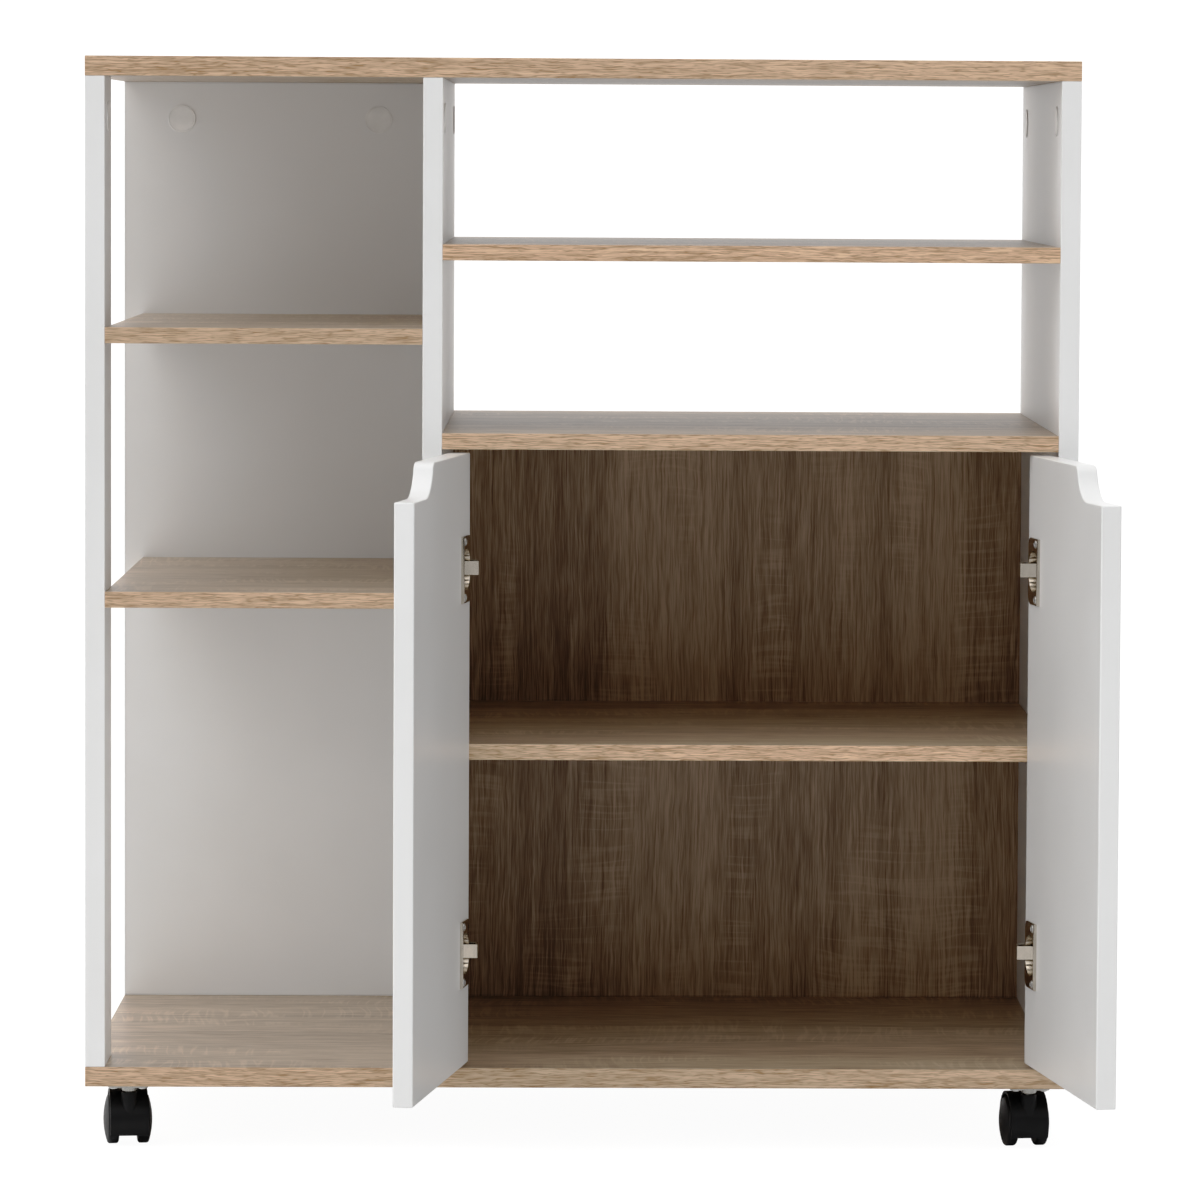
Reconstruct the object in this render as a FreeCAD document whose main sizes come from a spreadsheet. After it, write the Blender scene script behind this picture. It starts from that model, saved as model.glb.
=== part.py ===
import FreeCAD, Part

import Sketcher

import math
import os
import re

# Kitchen cart on four swivel castors: an open bay with two shelves on the left, two open
# shelves above a two-door cabinet on the right.
# Lengths are millimetres. x runs from the left end to the right, y from the front to the back
# and z up from the floor, all from the cart's own front left corner until a piece is placed.

DIMENSIONS = [
    # carcass
    ("cart_width", 800), ("cart_depth", 435), ("board", 16), ("shelf_board", 13), ("edge_round", 0.6),
    ("left_bay", 255), ("post_depth", 66),
    ("left_lower_clear", 372.5), ("left_middle_clear", 200),
    ("cabinet_clear", 501.5), ("open_clear", 139), ("top_clear", 133.5),
    ("inner_clear", 248), ("inner_setback", 26), ("inner_side_gap", 0.5),
    # doors
    ("door_board", 16), ("door_gap", 3), ("door_round", 1.2), ("open_angle", 99),
    ("grip_length", 88), ("grip_drop", 27), ("grip_outer_round", 9), ("grip_inner_round", 32),
    # hinge pivot, seen from the panel that carries it
    ("pivot_side", 11.7), ("pivot_depth", 6.5),
    ("hinge_top_inset", 93), ("hinge_bottom_inset", 91.4),
    ("pin_radius", 1), ("pin_length", 21.8), ("knuckle_radius", 1.9), ("running_gap", 0.06),
    # hinge cup
    ("cup_radius", 17.5), ("cup_wall", 0.8), ("cup_depth", 12.7), ("cup_edge", 3.9),
    ("flange_wide", 36), ("flange_tall", 54), ("flange_thick", 1.2), ("flange_round", 8),
    ("cup_screw_pitch", 45), ("cup_screw_offset", 9.5), ("cup_screw_length", 11),
    ("lip_tall", 2.6), ("lip_thick", 1.2),
    # hinge arm and mounting plate
    ("arm_tall", 11), ("arm_sheet", 1.6), ("hook_reach", 30), ("hook_back", 22), ("arm_bend", 1.4),
    ("channel_tall", 14.2), ("channel_sheet", 1.3), ("channel_back", 64), ("channel_lift", 7.4),
    ("plate_thick", 2.5), ("plate_front", 34), ("plate_back", 72), ("plate_tall", 18),
    ("plate_round", 3), ("wing_long", 16), ("wing_tall", 44), ("wing_line", 53),
    ("spine_tall", 10.8), ("spine_gap", 0.2), ("channel_foot_gap", 0.5),
    ("wing_screw_pitch", 32), ("wing_screw_radius", 2.5), ("wing_screw_length", 11),
    ("wing_head_radius", 3.5), ("wing_head", 2),
    ("arm_screw_radius", 1.5), ("arm_screw_length", 6), ("arm_screw_front", 40),
    ("arm_screw_back", 58), ("small_head_radius", 3.2), ("small_head", 1.8), ("small_screw_radius", 1.7),
    # castors
    ("castor_side", 34), ("castor_front", 22), ("castor_turn", 8),
    ("wheel_radius", 20), ("wheel_offset", 17), ("wheel_inner", 7.75), ("wheel_tread", 8.6),
    ("wheel_dome", 3.4), ("wheel_round", 2.2),
    ("axle_radius", 2.5), ("axle_half", 15.3), ("axle_end_gap", 0.5),
    ("hood_gap", 2.2), ("hood_wall", 2.6), ("hood_half", 15.4), ("web_half", 7.3), ("hood_foot", 9.2),
    ("hub_radius", 7), ("socket_radius", 6.5), ("socket_below_hood", 0.5), ("socket_floor_rise", 2),
    ("stem_radius", 3), ("stem_end_gap", 2),
    ("boss_radius", 6.2), ("boss_tall", 5), ("boss_gap", 0.2), ("boss_round", 1.5),
    ("castor_plate", 32), ("castor_plate_thick", 2), ("castor_plate_round", 3),
    ("castor_screw_pitch", 23), ("castor_screw_radius", 1.7), ("castor_screw_length", 12),
    ("castor_head_radius", 2.9), ("castor_head", 1.6),
    # cam fittings under the top board
    ("cam_drop", 32), ("cam_radius", 10), ("cam_depth", 12.5), ("cam_inset", 50),
    ("cover_radius", 12), ("cover_thick", 1), ("cam_bolt_radius", 3), ("cam_bolt_bite", 11),
    # screws, caps, dowels and shelf pins
    ("long_screw_radius", 3.3), ("long_screw_length", 50), ("long_head_radius", 5), ("long_head", 3.5),
    ("screw_inset", 55), ("cap_radius", 6.5), ("cap_thick", 0.8),
    ("dowel_radius", 4), ("dowel_length", 26), ("dowel_bite", 10), ("far_inset", 100),
    ("shelf_pin_radius", 2.5), ("shelf_pin_bite", 9), ("shelf_pin_reach", 9),
    ("shelf_pin_collar", 4.5), ("shelf_pin_collar_thick", 0.4), ("shelf_pin_inset", 60),
    # one overrun for every cut that opens a face, and the play of a part in its hole
    ("overrun", 1), ("hole_play", 0.05),
]

doc = FreeCAD.newDocument("KitchenCart")
sheet = doc.addObject("Spreadsheet::Sheet", "Sizes")
for row, (alias, amount) in enumerate(DIMENSIONS, start=1):
    cell = "B%d" % row
    sheet.set("A%d" % row, alias)
    sheet.set(cell, str(amount))
    sheet.setAlias(cell, alias)
doc.recompute()

ALIASES = {alias for alias, amount in DIMENSIONS}
NODES = {}

# How near two measures count as equal when edges are picked
SAME = 0.01


def bound(formula):
    """The formula with each size written as a reference to its cell."""

    def reference(word):
        return "Sizes." + word.group() if word.group() in ALIASES else word.group()

    return re.sub(r"[a-z_]+", reference, formula)


# Castor levels above the floor, from the wheel up to the plate's top
HOOD_REACH = "(wheel_radius + hood_gap + hood_wall)"
SOCKET_FLOOR = "(wheel_radius + socket_floor_rise)"
SOCKET_TOP = f"(wheel_radius + {HOOD_REACH} - socket_below_hood)"
BOSS_FOOT = f"(wheel_radius + {HOOD_REACH} + boss_gap)"
PLATE_FOOT = f"({BOSS_FOOT} + boss_tall)"
CASTOR_TALL = f"({PLATE_FOOT} + castor_plate_thick)"

# Levels and faces that many pieces share
DECK = f"({CASTOR_TALL} + board)"
PANEL_TALL = "(cabinet_clear + open_clear + top_clear + 2 * shelf_board)"
UNDER_TOP = f"({DECK} + {PANEL_TALL})"
BAY_LEFT = "(board + left_bay)"
BAY_RIGHT = f"({BAY_LEFT} + board)"
RIGHT_FACE = "(cart_width - board)"
BACK_FACE = "(cart_depth - board)"
LOWER_SHELF = f"({DECK} + left_lower_clear)"
UPPER_SHELF = f"({LOWER_SHELF} + shelf_board + left_middle_clear)"
CABINET_TOP = f"({DECK} + cabinet_clear)"
OPEN_SHELF = f"({CABINET_TOP} + shelf_board + open_clear)"
INNER_SHELF = f"({DECK} + inner_clear)"

# Doors: each frame has its origin on the pivot line, x towards the free edge when shut
DOOR_FOOT = f"({DECK} + door_gap)"
DOOR_TALL = "(cabinet_clear - 2 * door_gap)"
DOOR_WIDE = f"(({RIGHT_FACE} - {BAY_RIGHT} - 3 * door_gap) / 2)"
DOOR_EDGE = "(door_gap - pivot_side)"
HINGE_LEVELS = {
    "upper": f"({DOOR_FOOT} + {DOOR_TALL} - hinge_top_inset)",
    "lower": f"({DOOR_FOOT} + hinge_bottom_inset)",
}

# The box of the whole cart sets its origin: the open right door passes the right end, both doors
# reach out in front, and screw caps stand on the left and back faces
REACH_X = (f"((pivot_side + ({DOOR_EDGE} + {DOOR_WIDE} - door_round) * cos(open_angle)"
           " - (pivot_depth - door_round) * sin(open_angle)) - door_round)")
REACH_Y = (f"(pivot_depth - ({DOOR_EDGE} + {DOOR_WIDE} - door_round) * sin(open_angle)"
           " + (door_board - pivot_depth - door_round) * cos(open_angle) - door_round)")
ORIGIN_X = f"(({RIGHT_FACE} - {REACH_X} - cap_thick) / 2)"
ORIGIN_Y = f"((cart_depth + cap_thick + {REACH_Y}) / 2)"

# Turns that lay a cylinder's axis along a direction: yaw, pitch, roll
AXES = {
    "+z": (0, 0, 0), "-z": (0, 180, 0),
    "+x": (0, 90, 0), "-x": (0, -90, 0),
    "+y": (0, 0, -90), "-y": (0, 0, 90),
}


def put(item, x, y, z, turn=(0, 0, 0)):
    """Binds an object's placement to three lengths and a turn."""
    yaw, pitch, roll = turn
    item.setExpression("Placement", bound(
        f"create(<<placement>>; create(<<vector>>; {x}; {y}; {z}); "
        f"create(<<rotation>>; {yaw}; {pitch}; {roll}))"))


def size(item, **formulas):
    """Binds properties of an object to formulas of the sheet's sizes."""
    for name, formula in formulas.items():
        item.setExpression(name, bound(formula))


def to_frame(item):
    """Moves a piece drawn from the cart's front left corner into the part's own frame."""
    put(item, f"-{ORIGIN_X}", f"-{ORIGIN_Y}", "0")


class Piece:
    """One solid built in its own body from boxes and cylinders that add or cut."""

    def __init__(self, label):
        self.body = doc.addObject("PartDesign::Body", label)
        self.body.Label = label
        self.last = None
        NODES[label] = self.body

    def box(self, x, y, z, long, deep, tall, cut=False):
        kind = "SubtractiveBox" if cut else "AdditiveBox"
        self.last = self.body.newObject("PartDesign::" + kind, "Block")
        size(self.last, Length=long, Width=deep, Height=tall)
        put(self.last, x, y, z)

    def rod(self, x, y, z, axis, radius, length, cut=False):
        kind = "SubtractiveCylinder" if cut else "AdditiveCylinder"
        self.last = self.body.newObject("PartDesign::" + kind, "Round")
        size(self.last, Radius=radius, Height=length)
        put(self.last, x, y, z, AXES[axis])

    def cone(self, x, y, z, axis, radius, end_radius, length, cut=False):
        kind = "SubtractiveCone" if cut else "AdditiveCone"
        self.last = self.body.newObject("PartDesign::" + kind, "Taper")
        size(self.last, Radius1=radius, Radius2=end_radius, Height=length)
        put(self.last, x, y, z, AXES[axis])

    def soften(self, radius, chosen=None):
        """Rounds every edge, or those that the test accepts."""
        doc.recompute()
        shape = self.last.Shape
        names = [""] if chosen is None else ["Edge%d" % n for n, e in enumerate(shape.Edges, 1) if chosen(e)]
        base = self.last
        self.last = self.body.newObject("PartDesign::Fillet", "Soften")
        self.last.Base = (base, names)
        self.last.UseAllEdges = chosen is None
        size(self.last, Radius=radius)


def straight(direction):
    """A test for straight edges along a direction."""
    wanted = FreeCAD.Vector(*direction)

    def accepts(edge):
        if edge.Degenerated or edge.Curve.TypeId != "Part::GeomLine":
            return False
        return edge.tangentAt(edge.FirstParameter).cross(wanted).Length < SAME

    return accepts


def ring(radius, level=None):
    """A test for full circles of a radius, at any level or at one."""
    wanted = value(radius)
    height = None if level is None else value(level)

    def accepts(edge):
        if edge.Degenerated or edge.Curve.TypeId != "Part::GeomCircle":
            return False
        if abs(edge.Curve.Radius - wanted) > SAME:
            return False
        return height is None or abs(edge.Curve.Center.z - height) < SAME

    return accepts


def value(formula):
    """A formula's number at the sheet's present sizes."""
    probe = doc.addObject("App::FeaturePython", "Probe")
    probe.addProperty("App::PropertyFloat", "Number")
    probe.setExpression("Number", bound(formula))
    probe.recompute()
    number = probe.Number
    doc.removeObject(probe.Name)
    return number


OPPOSITE = {"+x": "-x", "-x": "+x", "+y": "-y", "-y": "+y", "+z": "-z", "-z": "+z"}
STEPS = {"x": (1, 0, 0), "y": (0, 1, 0), "z": (0, 0, 1)}


def shifted(x, y, z, axis, distance):
    """A place moved along a direction by a named distance."""
    sign = axis[0]
    step = STEPS[axis[1]]
    return tuple(f"({c} {sign} ({distance}))" if s else c for c, s in zip((x, y, z), step))


# Stations: where each fastener sits, and the direction it is driven in where that varies
CENTRE_MID = f"({BAY_LEFT} + board / 2)"
RIGHT_MID = f"({RIGHT_FACE} + board / 2)"
BACK_MID = f"({BACK_FACE} + board / 2)"
POST_MID = "(post_depth / 2)"
REAR_LINE = "(cart_depth - cam_inset)"
SCREW_REAR = "(cart_depth - screw_inset)"
DOWEL_REAR = "(cart_depth - far_inset)"
CAM_LEVEL = f"({UNDER_TOP} - cam_drop)"

CAMS = {
    "left_front_post": [("board", POST_MID, "-x")],
    "left_back_panel": [
        ("cam_inset", BACK_FACE, "+y"),
        (f"({BAY_LEFT} - cam_inset)", BACK_FACE, "+y"),
    ],
    "centre_panel": [(BAY_RIGHT, "cam_inset", "-x"), (BAY_RIGHT, REAR_LINE, "-x")],
    "right_side_panel": [(RIGHT_FACE, "cam_inset", "+x"), (RIGHT_FACE, REAR_LINE, "+x")],
}


def bolt_line(station):
    """The x and y of the upright bolt that a cam pulls on: the middle of the panel's thickness."""
    x, y, axis = station
    along_x, along_y, level = shifted(x, y, "0", axis, "board / 2")
    return along_x, along_y


FOOT_SCREWS = {
    "left_front_post": [("board / 2", POST_MID)],
    "left_back_panel": [("far_inset", BACK_MID), (f"({BAY_LEFT} - screw_inset)", BACK_MID)],
    "centre_panel": [(CENTRE_MID, "screw_inset"), (CENTRE_MID, SCREW_REAR)],
    "right_side_panel": [(RIGHT_MID, "screw_inset"), (RIGHT_MID, SCREW_REAR)],
    "cabinet_back_panel": [
        (f"({BAY_RIGHT} + far_inset)", BACK_MID),
        (f"({RIGHT_FACE} - far_inset)", BACK_MID),
    ],
}

SHELF_MIDDLES = {
    "left_lower_shelf": f"({LOWER_SHELF} + shelf_board / 2)",
    "left_upper_shelf": f"({UPPER_SHELF} + shelf_board / 2)",
    "cabinet_top_shelf": f"({CABINET_TOP} + shelf_board / 2)",
    "open_shelf": f"({OPEN_SHELF} + shelf_board / 2)",
}
LEFT_SHELVES = ["left_lower_shelf", "left_upper_shelf"]
RIGHT_SHELVES = ["cabinet_top_shelf", "open_shelf"]


def side_screws(shelf):
    """The long screws that hold one shelf: the panel that each passes through, and its station."""
    level = SHELF_MIDDLES[shelf]
    if shelf in LEFT_SHELVES:
        return [
            ("left_front_post", "0", POST_MID, level, "+x"),
            ("left_back_panel", "far_inset", "cart_depth", level, "-y"),
            ("left_back_panel", f"({BAY_LEFT} - far_inset + board)", "cart_depth", level, "-y"),
        ]
    return [
        (panel, x, y, level, axis)
        for panel, x, axis in (("centre_panel", BAY_LEFT, "+x"), ("right_side_panel", "cart_width", "-x"))
        for y in ("screw_inset", SCREW_REAR)
    ]


# Dowels: the piece on each side, the face between them, y, z and the direction into the first piece
DOWELS = [
    (("centre_panel", shelf), BAY_LEFT, y, SHELF_MIDDLES[shelf], "+x")
    for shelf in LEFT_SHELVES for y in ("far_inset", DOWEL_REAR)
] + [
    ((panel, "cabinet_back_panel"), x, BACK_MID, z, axis)
    for panel, x, axis in (("centre_panel", BAY_RIGHT, "-x"), ("right_side_panel", RIGHT_FACE, "+x"))
    for z in (f"({DECK} + far_inset)", f"({CABINET_TOP} - far_inset)")
]

SHELF_PINS = [
    (panel, x, y, f"({INNER_SHELF} - shelf_pin_radius)", axis)
    for panel, x, axis in (("centre_panel", BAY_RIGHT, "+x"), ("right_side_panel", RIGHT_FACE, "-x"))
    for y in ("shelf_pin_inset + inner_setback", f"({BACK_FACE} - shelf_pin_inset)")
]

# The panel that carries each door, its face, and the sign of x from that face into the cabinet
HINGE_SIDES = {"left": ("centre_panel", BAY_RIGHT, "+"), "right": ("right_side_panel", RIGHT_FACE, "-")}

# Castors: the swivel axis, and how far the fork is turned from trailing straight back
CASTORS = {
    "front_left": ("castor_side", "castor_front", "castor_turn"),
    "front_right": ("(cart_width - castor_side)", "castor_front", "castor_turn"),
    "rear_left": ("castor_side", "(cart_depth - castor_front)", "180"),
    "rear_right": ("(cart_width - castor_side)", "(cart_depth - castor_front)", "180"),
}

def drill(piece, x, y, z, axis, radius, depth):
    """A round hole into a face, started outside it by the overrun."""
    start = shifted(x, y, z, OPPOSITE[axis], "overrun")
    piece.rod(*start, axis, f"{radius} + hole_play", f"{depth} + overrun", cut=True)


def drill_fittings(piece, name):
    """All the holes that one board needs for the fasteners that hold it."""
    for station in CAMS.get(name, []):
        x, y, axis = station
        drill(piece, x, y, CAM_LEVEL, axis, "cam_radius", "cam_depth + hole_play")
        bolt_x, bolt_y = bolt_line(station)
        drill(piece, bolt_x, bolt_y, UNDER_TOP, "-z", "cam_bolt_radius", "cam_drop")
    for x, y in FOOT_SCREWS.get(name, []):
        drill(piece, x, y, DECK, "+z", "long_screw_radius", "long_screw_length - board + hole_play")
    for shelf in LEFT_SHELVES + RIGHT_SHELVES:
        for panel, x, y, z, axis in side_screws(shelf):
            if panel == name:
                drill(piece, x, y, z, axis, "long_screw_radius", "board + overrun")
                piece.cone(x, y, z, axis, "long_head_radius + hole_play", "long_screw_radius + hole_play",
                           "long_head + hole_play", cut=True)
            if shelf == name:
                face = shifted(x, y, z, axis, "board")
                drill(piece, *face, axis, "long_screw_radius", "long_screw_length - board + hole_play")
    for (panel, partner), x, y, z, axis in DOWELS:
        if panel == name:
            drill(piece, x, y, z, axis, "dowel_radius", "dowel_bite + hole_play")
        if partner == name:
            drill(piece, x, y, z, OPPOSITE[axis], "dowel_radius", "dowel_length - dowel_bite + hole_play")
    for panel, x, y, z, axis in SHELF_PINS:
        if panel == name:
            drill(piece, x, y, z, OPPOSITE[axis], "shelf_pin_radius", "shelf_pin_bite + hole_play")
    for panel, face, side in HINGE_SIDES.values():
        if panel == name:
            for level in HINGE_LEVELS.values():
                for half in ("-", "+"):
                    drill(piece, face, "wing_line", f"({level} {half} wing_screw_pitch / 2)",
                          OPPOSITE[side + "x"], "wing_screw_radius", "wing_screw_length + hole_play")


def board(name, x, y, z, long, deep, tall):
    """A flat board with softened edges and its fastener holes."""
    piece = Piece(name)
    piece.box(x, y, z, long, deep, tall)
    piece.soften("edge_round")
    drill_fittings(piece, name)
    to_frame(piece.body)
    return piece


def make_carcass():
    """The boards of the carcass and its shelves."""
    top = board("top_board", "0", "0", UNDER_TOP, "cart_width", "cart_depth", "board")
    for stations in CAMS.values():
        for station in stations:
            x, y = bolt_line(station)
            drill(top, x, y, UNDER_TOP, "+z", "cam_bolt_radius", "cam_bolt_bite + hole_play")

    bottom = board("bottom_board", "0", "0", CASTOR_TALL, "cart_width", "cart_depth", "board")
    for stations in FOOT_SCREWS.values():
        for x, y in stations:
            drill(bottom, x, y, CASTOR_TALL, "+z", "long_screw_radius", "board + overrun")
            bottom.cone(x, y, CASTOR_TALL, "+z", "long_head_radius + hole_play",
                        "long_screw_radius + hole_play", "long_head + hole_play", cut=True)
    for x, y, turn in CASTORS.values():
        for screw_x, screw_y in castor_corners(x, y):
            drill(bottom, screw_x, screw_y, CASTOR_TALL, "+z", "castor_screw_radius",
                  "castor_screw_length - castor_plate_thick + hole_play")

    board("centre_panel", BAY_LEFT, "0", DECK, "board", "cart_depth", PANEL_TALL)
    board("right_side_panel", RIGHT_FACE, "0", DECK, "board", "cart_depth", PANEL_TALL)
    board("left_front_post", "0", "0", DECK, "board", "post_depth", PANEL_TALL)
    board("left_back_panel", "0", BACK_FACE, DECK, BAY_LEFT, "board", PANEL_TALL)
    board("left_lower_shelf", "board", "0", LOWER_SHELF, "left_bay", BACK_FACE, "shelf_board")
    board("left_upper_shelf", "board", "0", UPPER_SHELF, "left_bay", BACK_FACE, "shelf_board")
    bay = f"({RIGHT_FACE} - {BAY_RIGHT})"
    board("open_shelf", BAY_RIGHT, "0", OPEN_SHELF, bay, "cart_depth", "shelf_board")
    board("cabinet_top_shelf", BAY_RIGHT, "0", CABINET_TOP, bay, "cart_depth", "shelf_board")
    board("cabinet_inner_shelf", f"{BAY_RIGHT} + inner_side_gap", "inner_setback", INNER_SHELF,
          f"{bay} - 2 * inner_side_gap", f"{BACK_FACE} - inner_setback - inner_side_gap", "shelf_board")
    board("cabinet_back_panel", BAY_RIGHT, BACK_FACE, DECK, bay, "board", "cabinet_clear")


def castor_corners(x, y):
    """The four screw places of a castor plate."""
    half = "castor_screw_pitch / 2"
    return [(f"({x} {sx} {half})", f"({y} {sy} {half})") for sx in "+-" for sy in "+-"]


def out_from(face, side, low, long):
    """The low end of a span along x that starts at a distance from a panel's face."""
    return f"({face} + ({low}))" if side == "+" else f"({face} - ({low}) - ({long}))"


def door_outline(sketch):
    """The door's face: a full-height part, an S-shaped step and a lower part at the free edge.

    The sketch's x runs from the pivot line towards the free edge, and its y is height."""
    edge = value(DOOR_EDGE)
    foot = value(DOOR_FOOT)
    free = edge + value(DOOR_WIDE)
    top = foot + value(DOOR_TALL)
    drop = sheet.get("grip_drop")
    outer = sheet.get("grip_outer_round")
    inner = sheet.get("grip_inner_round")
    step = free - sheet.get("grip_length")
    run = ((outer + inner) ** 2 - (outer + inner - drop) ** 2) ** 0.5
    crown = FreeCAD.Vector(step, top - outer, 0)
    hollow = FreeCAD.Vector(step + run, top - drop + inner, 0)
    meet = crown + (hollow - crown) * (outer / (outer + inner))
    places = [
        (edge, foot), (free, foot), (free, top - drop), (step + run, top - drop),
        meet, (step, top), (edge, top),
    ]
    corners = [FreeCAD.Vector(*place) for place in places]

    def side(start, end, centre=None):
        if centre is None:
            return Part.LineSegment(start, end)
        first, last = (math.atan2((p - centre).y, (p - centre).x) for p in (start, end))
        if (last - first) % (2 * math.pi) > math.pi:
            first, last = last, first
        circle = Part.Circle(centre, FreeCAD.Vector(0, 0, 1), (start - centre).Length)
        return Part.ArcOfCircle(circle, first, last)

    centres = [None, None, None, hollow, crown, None, None]
    count = len(corners)
    for n in range(count):
        sketch.addGeometry(side(corners[n], corners[(n + 1) % count], centres[n]), False)

    def end_at(n, corner):
        """Which end of a side lies on a corner: 1 for its start and 2 for its end."""
        line = sketch.Geometry[n]
        return 1 if (line.StartPoint - corner).Length < (line.EndPoint - corner).Length else 2

    rounded = [3, 4]
    for n in range(count):
        after = (n + 1) % count
        corner = corners[after]
        smooth = n in rounded or after in rounded
        kind = "Tangent" if smooth else "Coincident"
        sketch.addConstraint(Sketcher.Constraint(kind, n, end_at(n, corner), after, end_at(after, corner)))
    for n in (0, 2, 5):
        sketch.addConstraint(Sketcher.Constraint("Horizontal", n))
    for n in (1, 6):
        sketch.addConstraint(Sketcher.Constraint("Vertical", n))

    def measure(formula, kind, *points):
        number = value(formula)
        place = sketch.addConstraint(Sketcher.Constraint(kind, *points, number))
        sketch.setExpression("Constraints[%d]" % place, bound(formula))

    origin = (-1, 1)
    measure("pivot_side - door_gap", "DistanceX", 0, 1, *origin)
    measure(DOOR_FOOT, "DistanceY", *origin, 0, 1)
    measure(DOOR_WIDE, "DistanceX", 0, 1, 0, 2)
    measure(f"{DOOR_TALL} - grip_drop", "DistanceY", 1, 1, 1, 2)
    measure(DOOR_TALL, "DistanceY", 6, 2, 6, 1)
    measure(f"{DOOR_WIDE} - grip_length", "DistanceX", 5, 2, 5, 1)
    measure("grip_inner_round", "Radius", 3)
    measure("grip_outer_round", "Radius", 4)


CUP_MIDDLE = "(door_gap + cup_edge + cup_radius - pivot_side)"
INNER_FACE = "(door_board - pivot_depth)"


def hang(item, face, side):
    """Hangs a piece drawn from the pivot line on its door, swung open."""
    turn = "-open_angle" if side == "+" else "open_angle"
    put(item, f"{face} {side} pivot_side - {ORIGIN_X}", f"pivot_depth - {ORIGIN_Y}", "0", (turn, 0, 0))


def cup_middle(side):
    """Where a cup's centre line stands from the pivot line."""
    return f"({side}{CUP_MIDDLE})"


def cup_screw_line(side):
    """Where a flange's two screws stand from the pivot line, further in than the cup's centre."""
    return f"({side}({CUP_MIDDLE} + cup_screw_offset))"


def cup_screws(level):
    """The heights of the two screws of a cup's flange."""
    return [f"({level} {half} cup_screw_pitch / 2)" for half in "-+"]


def make_door(name, face, side):
    """A door board with its grip step, its cup bores and the flange screws' holes."""
    piece = Piece(name)
    sketch = piece.body.newObject("Sketcher::SketchObject", "Face")
    plane = [item for item in piece.body.Origin.OriginFeatures if item.Role == "XZ_Plane"][0]
    sketch.AttachmentSupport = (plane, [""])
    sketch.MapMode = "FlatFace"
    turn, depth = ("0", f"-{INNER_FACE}") if side == "+" else ("180", "pivot_depth")
    sketch.setExpression("AttachmentOffset", bound(
        f"create(<<placement>>; create(<<vector>>; 0; 0; {depth}); create(<<rotation>>; 0; {turn}; 0))"))
    door_outline(sketch)
    doc.recompute()
    piece.last = piece.body.newObject("PartDesign::Pad", "Board")
    piece.last.Profile = sketch
    size(piece.last, Length="door_board")
    piece.soften("door_round")
    for level in HINGE_LEVELS.values():
        drill(piece, cup_middle(side), INNER_FACE, level, "-y", "cup_radius", "cup_depth + hole_play")
        for z in cup_screws(level):
            drill(piece, cup_screw_line(side), INNER_FACE, z, "-y", "small_screw_radius",
                  "cup_screw_length - flange_thick + hole_play")
    hang(piece.body, face, side)


def make_cup(name, level, face, side):
    """A hinge cup: a thin round pot with an upright flange, a lip on it and holes for its pin."""
    piece = Piece(name)
    middle = cup_middle(side)

    def near_door_edge(edge):
        return straight((0, 1, 0))(edge) and abs(edge.Vertexes[0].X) < value(CUP_MIDDLE)

    piece.box(f"{middle} - flange_wide / 2", INNER_FACE, f"{level} - flange_tall / 2",
              "flange_wide", "flange_thick", "flange_tall")
    piece.soften("flange_round", near_door_edge)
    piece.box(out_from("0", side, f"{CUP_MIDDLE} + flange_wide / 2 - lip_thick", "lip_thick"),
              INNER_FACE, f"{level} - flange_tall / 2", "lip_thick", "lip_tall", "flange_tall")
    piece.rod(middle, INNER_FACE, level, "-y", "cup_radius", "cup_depth")
    piece.rod(middle, f"({INNER_FACE} + flange_thick + overrun)", level, "-y", "cup_radius - cup_wall",
              "cup_depth - cup_wall + flange_thick + overrun", cut=True)
    piece.rod("0", "0", f"{level} - pin_length / 2 - hole_play", "+z", "pin_radius + hole_play",
              "pin_length + 2 * hole_play", cut=True)
    for z in cup_screws(level):
        drill(piece, cup_screw_line(side), f"({INNER_FACE} + flange_thick)", z, "-y", "small_screw_radius",
              "flange_thick + overrun")
    hang(piece.body, face, side)


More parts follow.
